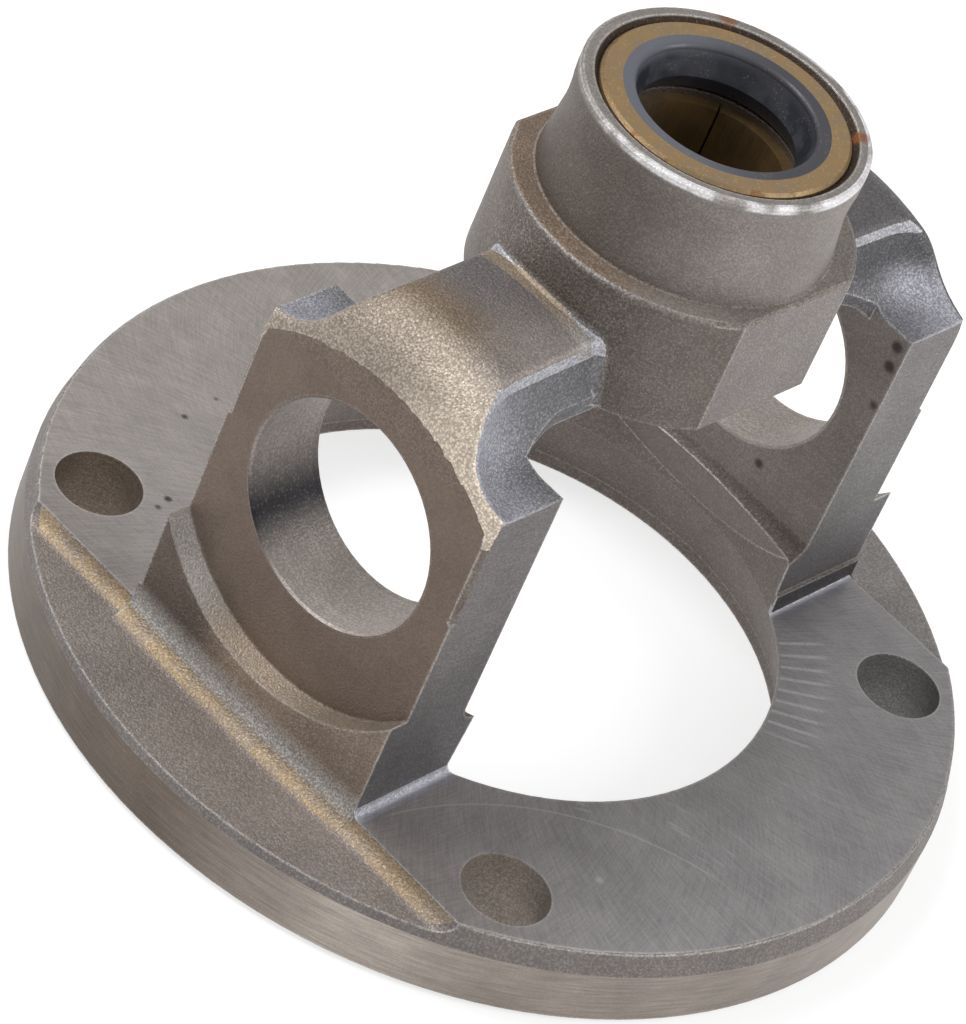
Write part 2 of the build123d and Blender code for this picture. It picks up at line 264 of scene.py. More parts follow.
# %% Grain of the forged skin
grain_effect, web, given, results = effect(
    "forged_grain", ["Place", "Grain"], ["Facets", "Height", "Specks", "Clouds"]
)
place_in_grains = web.vector("DIVIDE", given["Place"], given["Grain"])
facets = web.noise(place_in_grains, 1.0, detail=2.0, roughness=0.6)
cells = web.node("ShaderNodeTexVoronoi", {"Vector": place_in_grains, "Scale": 0.8})
lit_cell = web.above(web.split(cells.outputs["Color"])[0], 0.76, 0.12)
inside_cell = web.ramp(cells.outputs["Distance"], 0.15, 0.60, 1.0, 0.0)
web.put(results["Facets"], facets)
web.put(results["Height"], web.math("MULTIPLY_ADD", inside_cell, 0.45, facets))
web.put(results["Specks"], web.both(lit_cell, inside_cell))
web.put(results["Clouds"], web.noise(place_in_grains, 0.06, detail=3.0, roughness=0.55))
print("grain sockets:", [socket.name for socket in grain_effect.interface.items_tree])

# %% [markdown]
# A cutter leaves lines that are close across their run and long along it. The same noise, squeezed in
# one direction, gives both the fine lines and a few deeper scores. The finish says which way is
# across: for the milled face that is the way round the flange, and for the turned rim its height.

# %% Lines that a cutter leaves
lines_effect, web, given, results = effect(
    "cutter_lines", ["Across", "Along", "Pitch", "Run"], ["Height", "Scores"]
)
across = web.math("DIVIDE", given["Across"], given["Pitch"])
along = web.math("DIVIDE", given["Along"], given["Run"])
lines_place = web.join(across, along, 0.0)
scores_place = web.join(web.math("MULTIPLY", across, 0.45), web.math("MULTIPLY", along, 1.6), 7.0)
web.put(results["Height"], web.noise(lines_place, 1.0, detail=2.0, roughness=0.7))
web.put(results["Scores"], web.above(web.noise(scores_place, 1.0, detail=1.0), 0.66, 0.06))
print("line sockets:", [socket.name for socket in lines_effect.interface.items_tree])

# %% [markdown]
# Edges are rubbed bright, and the same mask paints on them the highlight that a rounded edge would catch.
# The bevel node turns the normal near an edge, so the angle between that normal and the plain one shows
# how near the edge is. A rounded mesh edge would show the same light, but the solid's edges stay as they
# came from the model.

# %% Bright edges: rubbed wear and a painted highlight
edges_effect, web, given, results = effect("edge_wear_and_highlight", ["Width"], ["Edges"])
rounded = web.node("ShaderNodeBevel", {"Radius": given["Width"]}, samples=2).outputs["Normal"]
plain = web.node("ShaderNodeNewGeometry").outputs["Normal"]
turned_away = web.math("SUBTRACT", 1.0, web.vector("DOT_PRODUCT", rounded, plain))
web.put(results["Edges"], web.ramp(turned_away, 0.015, 0.12))
print("edge sockets:", [socket.name for socket in edges_effect.interface.items_tree])

# %% [markdown]
# ## Colours as they look in daylight
#
# A colour socket wants linear values, but a maker compares a finish with what the eye sees.
# So one helper turns the everyday 0 to 255 values into linear ones, and another starts a finish.

# %% Helpers for colours and finishes
MM_PER_METRE = 1000


def paint(red, green, blue):
    """A linear colour from everyday values between 0 and 255."""
    linear = [((value / 255 + 0.055) / 1.055) ** 2.4 for value in (red, green, blue)]
    return (*linear, 1.0)


def finish(name, metallic, roughness):
    """A new material with its web, its shader and its object place in millimetres."""
    material = bpy.data.materials.new(name)
    material.use_nodes = True
    finish_web = Web(material.node_tree)
    shader_node = material.node_tree.nodes["Principled BSDF"]
    shader_node.inputs["Metallic"].default_value = metallic
    shader_node.inputs["Roughness"].default_value = roughness
    object_place = finish_web.node("ShaderNodeTexCoord").outputs["Object"]
    place_in_mm = finish_web.vector("MULTIPLY", object_place, (MM_PER_METRE,) * 3)
    return material, finish_web, shader_node, place_in_mm


print("mid grey:", [round(value, 3) for value in paint(128, 128, 128)])

# %% [markdown]
# ## The yoke's steel
#
# The yoke is one solid, so it gets one material, but it has a dozen finishes. Each cut face lies at a
# known distance from the flange's middle, so the place and the way that a point faces tell which
# cutter made it. Splitting the mesh by hand would do the same, but the solid then needs a copy.
#
# First the sizes, in millimetres from the flange's middle and its back face. A place further out than
# a size belongs to one finish, and a place nearer in belongs to the next.

# %% Sizes that tell the faces apart
FLANGE_RADIUS = 65.0
FORGED_EDGE = 63.3
FLANGE_FACE = 11.85
TURNED_BAND = 8.4
RIM_TOP = 14.0
SEGMENT_FACE = 9.75
OPENING_EDGE = 42.6
OPENING_TOP = 24.6
BOLT_PLACE = 39.6
BOLT_REACH = 6.2
COVE_START = 49.5
COVE_END = 54.0
COVE_TOP = 13.0
EAR_OUTER = 46.4
EAR_INNER = 34.2
EAR_SIDE = 20.75
EAR_TOP = 68.0
SIDE_COVE_HEIGHT = 12.5
FOOT_PAD_TOP = 15.02
FLANK_TOP = 58.0
BORE_HEIGHT = 44.2
BORE_RADIUS = 15.1
BORE_START = 20.0
LEDGE_RADIUS = 26.65
LEDGE_PLACE = 48.5
LEDGE_REACH = 2.05
LEDGE_TOP = 40.0
SHOULDER = 60.85
SHOULDER_START = 36.0
ROOF_TOP = 73.5
ROOF_CROWN = 39.5
ARM_TOP = 76.0
HUB_RADIUS = 23.1
HUB_FLAT = 20.7
HUB_COVE_SIDE = 11.5
HUB_COVE_BOTTOM = 70.5
HUB_TOP = 80.2
COLLAR_RADIUS = 19.8
COLLAR_TOP = 95.6
RIM_HIGHLIGHT_RADIUS = 18.3
SEAL_SEAT_RADIUS = 17.25
print("flange", 2 * FLANGE_RADIUS, "mm wide, collar", COLLAR_TOP, "mm high")

# %% Measure where a point lies
steel, web, steel_shader, place = finish("forged_steel", 0.75, 0.5)
x, y, z = web.split(place)
out_x = web.math("ABSOLUTE", x)
out_y = web.math("ABSOLUTE", y)
radius = web.vector("LENGTH", web.join(x, y, 0.0))
turn = web.math("ARCTAN2", y, x)
far_side = web.above(x, 0.0)
above_bore = web.math("SUBTRACT", z, BORE_HEIGHT)
bore_distance = web.vector("LENGTH", web.join(0.0, y, above_bore))
print("place ready")

# %% Find which way it faces
STRAIGHT = 0.97
normal = web.node("ShaderNodeNewGeometry").outputs["Normal"]
face_x, face_y, face_up = web.split(normal)
face_out = web.math("MULTIPLY", face_x, web.math("SIGN", x))
face_side = web.math("ABSOLUTE", face_y)
level = web.above(face_up, 0.9)
sideways = web.above(face_side, STRAIGHT)
print("nodes so far:", len(steel.node_tree.nodes))

# %% [markdown]
# The flange was milled level on top, turned round its lower band and drilled. Above the turned band
# the rim is still as forged, and the two segments beside the ears were left lower.

# %% Find the faces of the flange
flange_cut = web.both(level, web.near(z, FLANGE_FACE, 0.2))
segment = web.both(level, web.near(z, SEGMENT_FACE, 0.2))
rim_turned = web.both(web.above(radius, FLANGE_RADIUS - 0.5), web.below(z, TURNED_BAND))
rim_forged = web.both(
    web.above(radius, FORGED_EDGE), web.above(z, TURNED_BAND),
    web.below(z, RIM_TOP), web.below(face_up, 0.85),
)
hole_x = web.math("SUBTRACT", out_x, BOLT_PLACE)
hole_y = web.math("SUBTRACT", out_y, BOLT_PLACE)
hole_distance = web.vector("LENGTH", web.join(hole_x, hole_y, 0.0))
bolt_hole = web.both(web.below(hole_distance, BOLT_REACH), web.below(face_up, 0.5))
opening_wall = web.both(web.below(radius, OPENING_EDGE), web.below(z, OPENING_TOP), web.below(level, 0.5))
print("nodes so far:", len(steel.node_tree.nodes))

# %% [markdown]
# Each ear was milled on its outer face, its inner face and its two sides, and bored. The outer cutter
# ran in a circle, so it left a round ledge in the forged flank below. The sides end at the flange in
# a small cove, the shape of the side cutter's corner, painted bluish silver as a painted highlight. On
# the far ear the foot pad's side, below z 15, is painted near black as painted shade.

# %% Find the faces of the ears
ear_face = web.both(web.above(face_out, STRAIGHT), web.near(out_x, EAR_OUTER, 0.1))
inner_face = web.both(web.below(face_out, -STRAIGHT), web.near(out_x, EAR_INNER, 0.2))
ear_side = web.both(
    sideways, web.near(out_y, EAR_SIDE + 0.25, 0.5),
    web.above(out_x, HUB_RADIUS), web.below(z, EAR_TOP),
)
# Painted highlight on the side cove.
side_cove = web.both(
    web.near(out_y, EAR_SIDE + 0.75, 0.9), web.near(z, SIDE_COVE_HEIGHT, 0.75), web.below(face_side, 0.99)
)
# Painted shade on the far ear's foot pad.
foot_pad_shade = web.both(sideways, web.near(out_y, EAR_SIDE + 0.5, 0.1), web.below(z, FOOT_PAD_TOP), far_side)
bore = web.both(
    web.below(bore_distance, BORE_RADIUS + 0.4),
    web.above(out_x, BORE_START), web.below(out_x, EAR_OUTER + 0.1),
)
spot_ledge = web.both(
    web.near(bore_distance, LEDGE_RADIUS, 0.3), web.near(out_x, LEDGE_PLACE, LEDGE_REACH),
    web.below(z, LEDGE_TOP), web.below(face_out, 0.6),
)
print("nodes so far:", len(steel.node_tree.nodes))

# %% [markdown]
# The hub is turned, with two flats milled for the room that the joint's cross needs. Above it stands
# the collar that holds the seal. Its rim gets a painted highlight, a bright band on the side towards -y.

# %% Find the faces of the hub
hub_zone = web.both(
    web.above(z, SHOULDER + 1.6), web.below(z, HUB_TOP + 0.2), web.below(out_x, HUB_RADIUS + 0.1)
)
hub_flat = web.both(hub_zone, sideways, web.near(out_y, HUB_FLAT, 0.1))
hub_round = web.both(hub_zone, web.near(radius, HUB_RADIUS, 0.15))
hub_shelf = web.both(level, web.near(z, HUB_TOP, 0.2))
hub_cove = web.both(
    web.near(out_x, HUB_RADIUS + 0.9, 1.1), web.below(out_y, HUB_COVE_SIDE), web.above(z, HUB_COVE_BOTTOM)
)
collar = web.both(web.above(z, HUB_TOP + 0.2), web.below(radius, COLLAR_RADIUS))
collar_rim = web.both(collar, web.above(z, COLLAR_TOP - 1.2, 0.8))
# Painted highlight: a bright band on the collar rim's outer edge, on the side towards -y.
rim_band_highlight = web.both(
    collar_rim, web.above(radius, RIM_HIGHLIGHT_RADIUS),
    web.above(z, COLLAR_TOP - 1.0, 0.4), web.below(y, 4.0, 14.0),
)
# Painted shade: the V-groove of the seal seat between collar and case is painted dark brown, a rusty tint
# on painted shade.
seal_seat = web.both(
    web.above(z, COLLAR_TOP - 3.0), web.below(radius, SEAL_SEAT_RADIUS, 0.2), web.below(face_up, 0.9)
)
print("nodes so far:", len(steel.node_tree.nodes))

# %% [markdown]
# The forged places have no exact level. The cove is the round foot between two levels, and the roof
# of an arm is told by its height: it is an arch across the arm, and all that lies lower beside it
# belongs to the pocket. The edge between them is painted as a silver line, a painted highlight. The
# foot is painted silver where it faces the white floor, a painted reflection of the floor.

# %% Find the forged foot and flank
foot_cove = web.both(
    web.below(x, 0.0), web.above(out_x, COVE_START), web.below(out_x, COVE_END),
    web.above(z, SEGMENT_FACE + 0.1), web.below(z, COVE_TOP), web.below(face_up, 0.985),
    web.below(radius, FORGED_EDGE + 0.3), web.below(spot_ledge, 0.5),
)
# Painted reflection of the white floor on the foot.
foot_floor_reflection = web.both(
    web.above(out_x, EAR_OUTER + 0.5), web.below(out_y, EAR_SIDE + 0.3),
    web.above(z, 11.0, 1.5), web.below(z, 14.3, 3.4),
)
flank = web.both(
    web.above(face_out, 0.8), web.above(out_x, EAR_OUTER + 0.1),
    web.above(z, COVE_TOP), web.below(z, FLANK_TOP),
)
print("nodes so far:", len(steel.node_tree.nodes))

# %% Find the arm's roof and pockets
roof_arch = web.math("SQRT", web.math("SUBTRACT", ROOF_CROWN ** 2, web.math("MULTIPLY", y, y)))
roof_apex = web.math("MULTIPLY_ADD", out_x, -0.03, ROOF_TOP + 0.7)
arch_height = web.math("ADD", roof_arch, web.math("SUBTRACT", roof_apex, ROOF_CROWN))
above_arch = web.math("SUBTRACT", z, arch_height)
on_top = web.both(web.above(above_arch, -0.5, 0.5), web.above(out_x, HUB_RADIUS), web.below(z, ARM_TOP))
on_shoulder = web.both(
    web.above(face_out, 0.15), web.above(z, SHOULDER - 4), web.above(out_x, SHOULDER_START)
)
forged_top = web.math("MAXIMUM", on_top, on_shoulder)
roof = web.both(forged_top, web.below(ear_face, 0.5), web.below(ear_side, 0.5))
pocket = web.both(
    web.above(z, SHOULDER - 0.3), web.above(out_x, HUB_RADIUS - 3),
    web.below(roof, 0.5), web.below(hub_flat, 0.5),
)
# Painted highlight along the neck's edge.
neck_edge_highlight = web.both(
    web.near(above_arch, -0.9, 1.0), pocket, web.above(face_side, 0.12), web.below(out_x, EAR_OUTER)
)
along_roof = web.ramp(out_x, HUB_RADIUS + 2, EAR_OUTER)
print("nodes so far:", len(steel.node_tree.nodes))

# %% [markdown]
# The cutter crossed the flange face outward and back, so the lines there run nearly from the middle
# to the rim, in two families that cross. The sides of the ears have straight lines, and the rim and
# the bores have lines round them, because the lathe and the boring bar turned there. One effect with
# its direction chosen by the face does for all, where one effect for each face would render slowly.

# %% Choose the direction of the lines
around = web.math("MULTIPLY", turn, 50.0)
across = web.math("MULTIPLY_ADD", radius, -0.2, around)
along = radius
straight_cut = web.math("MAXIMUM", ear_side, web.math("MAXIMUM", inner_face, hub_flat))
turned = web.math("MAXIMUM", rim_turned, collar)
bored = web.math("MAXIMUM", bore, bolt_hole)
for mask, zone_across, zone_along in (
    (straight_cut, web.math("MULTIPLY_ADD", x, 0.2, z), out_x),
    (turned, z, around),
    (bored, web.blend(bore, z, x), web.blend(bore, around, bore_distance)),
):
    across = web.blend(mask, across, zone_across)
    along = web.blend(mask, along, zone_along)
print("nodes so far:", len(steel.node_tree.nodes))

# %% [markdown]
# The cutter's last pass left a few wide arcs in front. They are circles round a point beside the
# flange, so the distance from that point is their direction across.

# %% Place the effects
LAST_PASS = (-51.95, -64.18, 0.0)
LAST_PASS_RADIUS = 41.8

grain = web.effect(grain_effect, Place=place, Grain=0.30)
mottle = web.noise(place, 0.12, detail=2.0, roughness=0.65)
cut_lines = web.effect(lines_effect, Across=across, Along=along, Pitch=0.32, Run=6.0)
cross_direction = web.math("MULTIPLY_ADD", radius, 0.9, around)
cross_lines = web.effect(lines_effect, Across=cross_direction, Along=radius, Pitch=0.36, Run=4.0)
last_x, last_y = web.split(web.vector("SUBTRACT", place, LAST_PASS))[:2]
last_reach = web.vector("LENGTH", web.join(last_x, last_y, 0.0))
last_turn = web.math("ARCTAN2", last_y, last_x)
last_run = web.math("MULTIPLY", last_turn, LAST_PASS_RADIUS + 0.2)
arc_lines = web.effect(lines_effect, Across=last_reach, Along=last_run, Pitch=0.5, Run=9.0)
worn_and_highlit_edges = web.effect(edges_effect, Width=0.0005)
print("effects placed:", sum(node.type == "GROUP" for node in steel.node_tree.nodes))

# %% [markdown]
# ## Colours of the faces
#
# Bare steel has no one colour: it shows what is round it. So most faces get painted light and shade:
# they go from one colour to another along the part, lighter where the light falls and darker and browner
# where it is low, as they do in the photograph. One even colour with stronger lamps would not give these
# changes.

# %% Colours of the flange
# The silver of the painted highlights and of the painted floor reflection.
PAINTED_SILVER = paint(196, 193, 190)

cloudy = web.ramp(grain["Clouds"], 0.35, 0.65)
forged_colour = web.mix(cloudy, paint(118, 108, 100), paint(136, 126, 118))
# Painted light and shade: the milled face is painted lighter towards +y and darker towards -x.
flange_colour = web.mix(web.ramp(y, -10.0, 60.0), paint(174, 170, 171), paint(188, 180, 175))
flange_colour = web.mix(web.ramp(x, -34.0, -58.0), flange_colour, paint(156, 148, 143))
segment_colour = web.mix(far_side, paint(152, 143, 137), paint(160, 155, 153))
# Painted highlight: the foot cove is tan below and painted silver on its upper curve.
cove_tan = web.mix(cloudy, paint(172, 152, 126), paint(160, 146, 130))
cove_highlight = web.both(web.ramp(z, 10.8, 11.9), web.below(out_y, EAR_SIDE + 0.3))
cove_colour = web.mix(cove_highlight, cove_tan, PAINTED_SILVER)
# Painted shade and reflection: the turned rim is painted darker for y above 0 and lighter towards -y,
# with a painted bright reflection streak round y -33 on the near half.
rim_reflection = web.both(web.ramp(y, -22.0, -32.0), web.ramp(y, -46.0, -34.0), web.below(x, 0.0))
rim_colour = web.mix(web.ramp(y, 0.0, -26.0), paint(108, 97, 88), paint(150, 140, 132))
rim_colour = web.mix(web.math("MULTIPLY", rim_reflection, 0.8), rim_colour, paint(178, 169, 160))
bolt_colour = web.mix(web.ramp(y, 20.0, -20.0), paint(144, 130, 116), paint(167, 157, 148))
bolt_colour = web.mix(far_side, bolt_colour, paint(144, 141, 140))
print("nodes so far:", len(steel.node_tree.nodes))

# %% [markdown]
# The bore's wall gets painted light and shade: it is painted lighter where it faces up, and dark in one
# stretch, where it faces the shade under the arm. That stretch is found by the angle round the bore's
# axis.

# %% Colours of the ears
BORE_SHADOW_TURN = radians(40)
BORE_SHADOW_REACH = radians(36)

flank_colour = web.mix(web.ramp(y, -14.0, 0.0), paint(150, 136, 124), paint(168, 151, 135))
flank_colour = web.mix(web.ramp(y, 2.0, 12.0), flank_colour, paint(112, 101, 93))
# Painted highlight: the spot-face ledge is painted lighter towards +y, almost white at that end.
ledge_colour = web.mix(web.ramp(y, -14.0, 2.0), paint(158, 144, 129), paint(210, 195, 178))
ledge_colour = web.mix(web.ramp(y, 6.0, 15.0), ledge_colour, paint(236, 233, 230))
ear_side_colour = web.mix(web.ramp(z, 16.0, 52.0), paint(104, 101, 102), paint(136, 132, 131))
bore_turn = web.math("ARCTAN2", above_bore, y)
from_shadow = web.math("ABSOLUTE", web.math("ADD", bore_turn, BORE_SHADOW_TURN))
bore_shadow = web.ramp(from_shadow, 0.0, BORE_SHADOW_REACH, 1.0, 0.0)
# Painted light: lighter where the wall faces up; painted shade: dark in the shaded stretch.
bore_colour = web.mix(web.ramp(face_up, 0.2, 0.95), paint(168, 160, 156), paint(200, 191, 184))
bore_colour = web.mix(bore_shadow, bore_colour, paint(56, 54, 57))
print("nodes so far:", len(steel.node_tree.nodes))

# %% [markdown]
# The near arm's roof gets painted light and shade as it curves: grey at the hub, tan in the middle and
# painted light at the ear, lightest on its -y side, and darker lower down. The far arm is painted darker
# as painted shade, and so is its pocket's top. The pockets are painted lighter towards the ear's outer
# end.

# %% Colours of the arms and the hub
# Painted light and shade on the roofs and the pockets.
roof_mid = web.mix(web.ramp(along_roof, 0.08, 0.66), paint(128, 123, 122), paint(136, 120, 102))
roof_mid = web.mix(web.ramp(y, 2.0, -10.0), roof_mid, paint(160, 151, 146))
roof_highlight = web.mix(web.ramp(y, 6.0, -14.0), paint(166, 154, 142), paint(220, 206, 190))
roof_colour = web.mix(web.ramp(along_roof, 0.6, 1.0), roof_mid, roof_highlight)
roof_colour = web.mix(web.ramp(z, 58.0, 51.0), roof_colour, paint(128, 119, 112))
roof_colour = web.mix(far_side, roof_colour, paint(112, 110, 110))
far_pocket_top_shade = web.both(far_side, web.ramp(z, 62.0, 67.0))
pocket_colour = web.mix(web.ramp(out_x, 32.0, 42.0), paint(126, 125, 128), paint(174, 174, 182))
pocket_colour = web.mix(far_pocket_top_shade, pocket_colour, paint(104, 103, 105))
# Painted highlight: the cove at the hub is painted as a tan line that turns silver towards -y.
hub_cove_highlight = web.mix(web.ramp(y, -2.0, -11.0), paint(162, 147, 130), paint(178, 175, 174))
# Painted light: the shelf and the collar are painted lighter towards -y and darker towards +y.
shelf_colour = web.mix(web.ramp(y, -4.0, -16.0), paint(152, 134, 118), paint(166, 158, 152))
collar_colour = web.mix(web.ramp(y, 2.0, -18.0), paint(112, 104, 98), paint(152, 145, 141))
# The colour of the collar rim's painted highlight, patchy with the mottle.
rim_band_highlight_colour = web.mix(web.ramp(mottle, 0.42, 0.56), paint(150, 145, 142), paint(238, 236, 238))
print("nodes so far:", len(steel.node_tree.nodes))

# %% [markdown]
# Now each face gets its colour over the forged one. A later row covers an earlier one, so the rows go
# from wide places to narrow ones.

# %% Colour the steel
colour = forged_colour
for mask, zone_colour in (
    (rim_turned, rim_colour),
    (rim_forged, paint(132, 126, 123)),
    (opening_wall, paint(123, 114, 109)),
    (segment, segment_colour),
    (flange_cut, flange_colour),
    (flank, flank_colour),
    # Painted light in these rows: the foot's floor reflection, highlights on the cove, the ledge and the
    # side cove, and shade on the foot pad.
    (foot_floor_reflection, PAINTED_SILVER),
    (foot_cove, cove_colour),
    (spot_ledge, ledge_colour),
    (ear_side, ear_side_colour),
    (side_cove, paint(176, 176, 184)),
    (foot_pad_shade, paint(66, 64, 68)),
    (inner_face, paint(133, 125, 121)),
    (bore, bore_colour),
    (bolt_hole, bolt_colour),
    (pocket, pocket_colour),
    (roof, roof_colour),
    # Painted highlight on the neck's edge.
    (neck_edge_highlight, paint(188, 188, 193)),
    # Painted highlight on the hub cove.
    (hub_cove, hub_cove_highlight),
    (ear_face, paint(126, 112, 102)),
    (hub_round, paint(126, 118, 112)),
    (hub_flat, paint(146, 139, 136)),
    (hub_shelf, shelf_colour),
    (collar, collar_colour),
    (collar_rim, paint(150, 144, 139)),
    # Painted highlight on the collar rim.
    (rim_band_highlight, rim_band_highlight_colour),
    # Painted shade in the seal seat's groove.
    (seal_seat, paint(62, 50, 42)),
):
    colour = web.mix(mask, colour, zone_colour)
print("nodes so far:", len(steel.node_tree.nodes))

# %% [markdown]
# Cut faces show lines and little grain, and forged ones show grain and no lines. So a mask says how
# quiet the grain is, and another where the lines lie. The roof's outer end, the pockets, the neck's edge
# and the foot get the most grain from the blast and the most bright specks, which are painted glints.

# %% Share out grain and lines
FAINT_LINES = 0.6

cut = web.math("ADD", flange_cut, web.math("MULTIPLY_ADD", inner_face, 0.35, rim_turned), clamp=True)
faintly_lined = web.math("ADD", web.math("ADD", bore, bolt_hole), ear_side)
lined = web.math("ADD", cut, web.math("MULTIPLY", faintly_lined, FAINT_LINES), clamp=True)
quiet = web.math("MAXIMUM", cut, web.math("MULTIPLY", ear_face, 0.6))
quiet = web.math("MAXIMUM", quiet, web.math("MULTIPLY", collar, 0.4))
glinting_edges_and_pockets = web.math("MAXIMUM", neck_edge_highlight, foot_floor_reflection)
glinting_edges_and_pockets = web.math("MAXIMUM", glinting_edges_and_pockets, web.math("MULTIPLY", pocket, 0.9))
blasted_and_glinting = web.math("MAXIMUM", web.both(roof, web.ramp(along_roof, 0.3, 0.9)), glinting_edges_and_pockets)
speckled = web.ramp(quiet, 0.0, 1.0, 0.40, 0.10)
speckled = web.math("MULTIPLY_ADD", blasted_and_glinting, 0.24, speckled)
print("nodes so far:", len(steel.node_tree.nodes))

# %% Shade the colour with grain and lines
SPECK_SHARE = 0.18

darkest = web.math("SUBTRACT", 1.0, web.math("MULTIPLY", speckled, 0.5))
shade = web.math("MULTIPLY_ADD", web.ramp(grain["Height"], 0.3, 0.9), speckled, darkest)
crossing = web.math("MULTIPLY", flange_cut, 0.45)
line_shade = web.blend(crossing, cut_lines["Height"], cross_lines["Height"])
line_shade = web.ramp(line_shade, 0.3, 0.7, 0.84, 1.16)
shade = web.math("MULTIPLY", shade, web.blend(lined, 1.0, line_shade))
shade = web.math("MULTIPLY", shade, web.ramp(mottle, 0.3, 0.7, 0.92, 1.07))
colour = web.mix(1.0, colour, web.join(shade, shade, shade), "MULTIPLY")
# Painted glints: bright specks on the facets that face the light.
bright = web.math("MULTIPLY", grain["Specks"], speckled)
colour = web.mix(web.math("MULTIPLY", bright, SPECK_SHARE), colour, paint(225, 218, 208))
# Bright edges: rubbed wear, and a painted highlight where a rounded edge would catch the light.
bright_edges = web.both(worn_and_highlit_edges["Edges"], web.ramp(grain["Height"], 0.2, 0.7), web.below(bore, 0.5))
colour = web.mix(bright_edges, colour, paint(232, 228, 223))
print("nodes so far:", len(steel.node_tree.nodes))

# %% [markdown]
# ## Marks of use and storage
#
# A few marks lie in known places: the chatter beside the opening, where the cutter came in, the arc
# of its last pass, pits in the skin and rust near the rim. Each is a distance from a place or a
# line, cut to its stretch, so it stays sharp at any size of picture.

# %% Helper for small round marks
def spots(mark_web, where, centres, size, ragged):
    """A mask of small round marks at the given places."""
    mask = 0.0
    for centre in centres:
        reach = mark_web.vector("DISTANCE", where, centre)
        reach = mark_web.math("ADD", reach, ragged)
        mask = mark_web.math("MAXIMUM", mask, mark_web.ramp(reach, size * 0.4, size, 1.0, 0.0))
    return mask


# %% Pits, rust and a chip
FLANGE_PITS = [
    (-32.8, 33.3, 12.3), (-35.1, 32.7, 12.3), (-13.0, 45.2, 12.3),
    (-19.6, 44.4, 12.3), (55.8, -29.7, 12.3), (50.5, -38.6, 12.3),
]
EAR_PITS = [(34.7, -19.0, 58.8), (34.7, -19.3, 55.5), (34.7, -19.8, 49.0), (34.7, -8.6, 28.5)]
RUST_SPOTS = [(39.5, -52.4, 0.5), (40.0, -51.9, 4.1), (13.5, 12.5, 95.6), (13.0, -11.5, 95.6)]
BRIGHT_CHIP = (-26.9, -44.4, 12.3)

ragged = web.math("MULTIPLY_ADD", mottle, 0.9, -0.5)
flange_pits = spots(web, place, FLANGE_PITS, size=0.75, ragged=ragged)
ear_pits = spots(web, place, EAR_PITS, size=1.2, ragged=ragged)
pits = web.math("MAXIMUM", flange_pits, ear_pits)
rust = spots(web, place, RUST_SPOTS, size=1.6, ragged=ragged)
chip = spots(web, place, [BRIGHT_CHIP], size=0.9, ragged=ragged)
print("marks:", len(FLANGE_PITS + EAR_PITS), "pits,", len(RUST_SPOTS), "rust spots")

# %% [markdown]
# The chatter is a row of short streaks at even turns round the flange. A wave over the turn gives
# them all at once, and the distance from the middle cuts them to length.

# %% Chatter and arcs
CHATTER_STEP = radians(3.4)
CHATTER_LEAN = -0.0055
CHATTER_FROM = radians(-68)
CHATTER_TO = radians(-39)
CHATTER_INNER = 38.9
CHATTER_OUTER = 45.5
ARC_FROM = radians(18)
ARC_TO = radians(80)
ARC_WIDTH = 0.13
WIDE_ARCS_FROM = radians(15)
WIDE_ARCS_TO = radians(62)
WIDE_ARCS_REACH = 9.0

chatter_turn = web.math("MULTIPLY_ADD", radius, CHATTER_LEAN, turn)
chatter_wave = web.math("SINE", web.math("MULTIPLY", chatter_turn, 2 * pi / CHATTER_STEP))
chatter = web.both(
    flange_cut, web.above(chatter_wave, 0.74, 0.3),
    web.above(radius, CHATTER_INNER), web.below(radius, CHATTER_OUTER, 3.0),
    web.above(turn, CHATTER_FROM, 0.12), web.below(turn, CHATTER_TO, 0.04),
    far_side, web.ramp(grain["Height"], 0.2, 0.6),
)
last_arc = web.both(
    flange_cut, web.near(last_reach, LAST_PASS_RADIUS, ARC_WIDTH), web.above(last_turn, ARC_FROM, 0.05),
    web.below(last_turn, ARC_TO, 0.05), web.ramp(grain["Clouds"], 0.30, 0.42),
)
wide_arcs = web.both(
    flange_cut, arc_lines["Scores"], web.above(last_reach, LAST_PASS_RADIUS),
    web.below(last_reach, LAST_PASS_RADIUS + WIDE_ARCS_REACH, 3.0),
    web.above(last_turn, WIDE_ARCS_FROM, 0.1), web.below(last_turn, WIDE_ARCS_TO, 0.1),
)
print("nodes so far:", len(steel.node_tree.nodes))

# %% Add the marks to the colour
MARK_SHARE = 0.85
RUST_SHARE = 0.75

strong_marks = web.math("MAXIMUM", chatter, web.math("MULTIPLY", last_arc, 0.7))
light_marks = web.math("MAXIMUM", strong_marks, web.math("MULTIPLY", wide_arcs, 0.5))
light_marks = web.math("MAXIMUM", light_marks, chip)
colour = web.mix(web.math("MULTIPLY", light_marks, MARK_SHARE), colour, paint(208, 206, 208))
colour = web.mix(web.math("MULTIPLY", pits, MARK_SHARE), colour, paint(48, 40, 36))
colour = web.mix(web.math("MULTIPLY", rust, RUST_SHARE), colour, paint(150, 92, 44))
web.put(steel_shader.inputs["Base Color"], colour)
print("steel's colour is ready")

# %% [markdown]
# Cut steel is smoother than forged steel, and the bright specks are the smoothest. The relief is the
# grain alone, in the forged places. The cutter's lines are finer than a hair, so they stay a colour.

# %% Give the steel its gloss and its relief
FORGED_ROUGHNESS = 0.55
CUT_ROUGHNESS = 0.42
GRAIN_HEIGHT = 0.00014

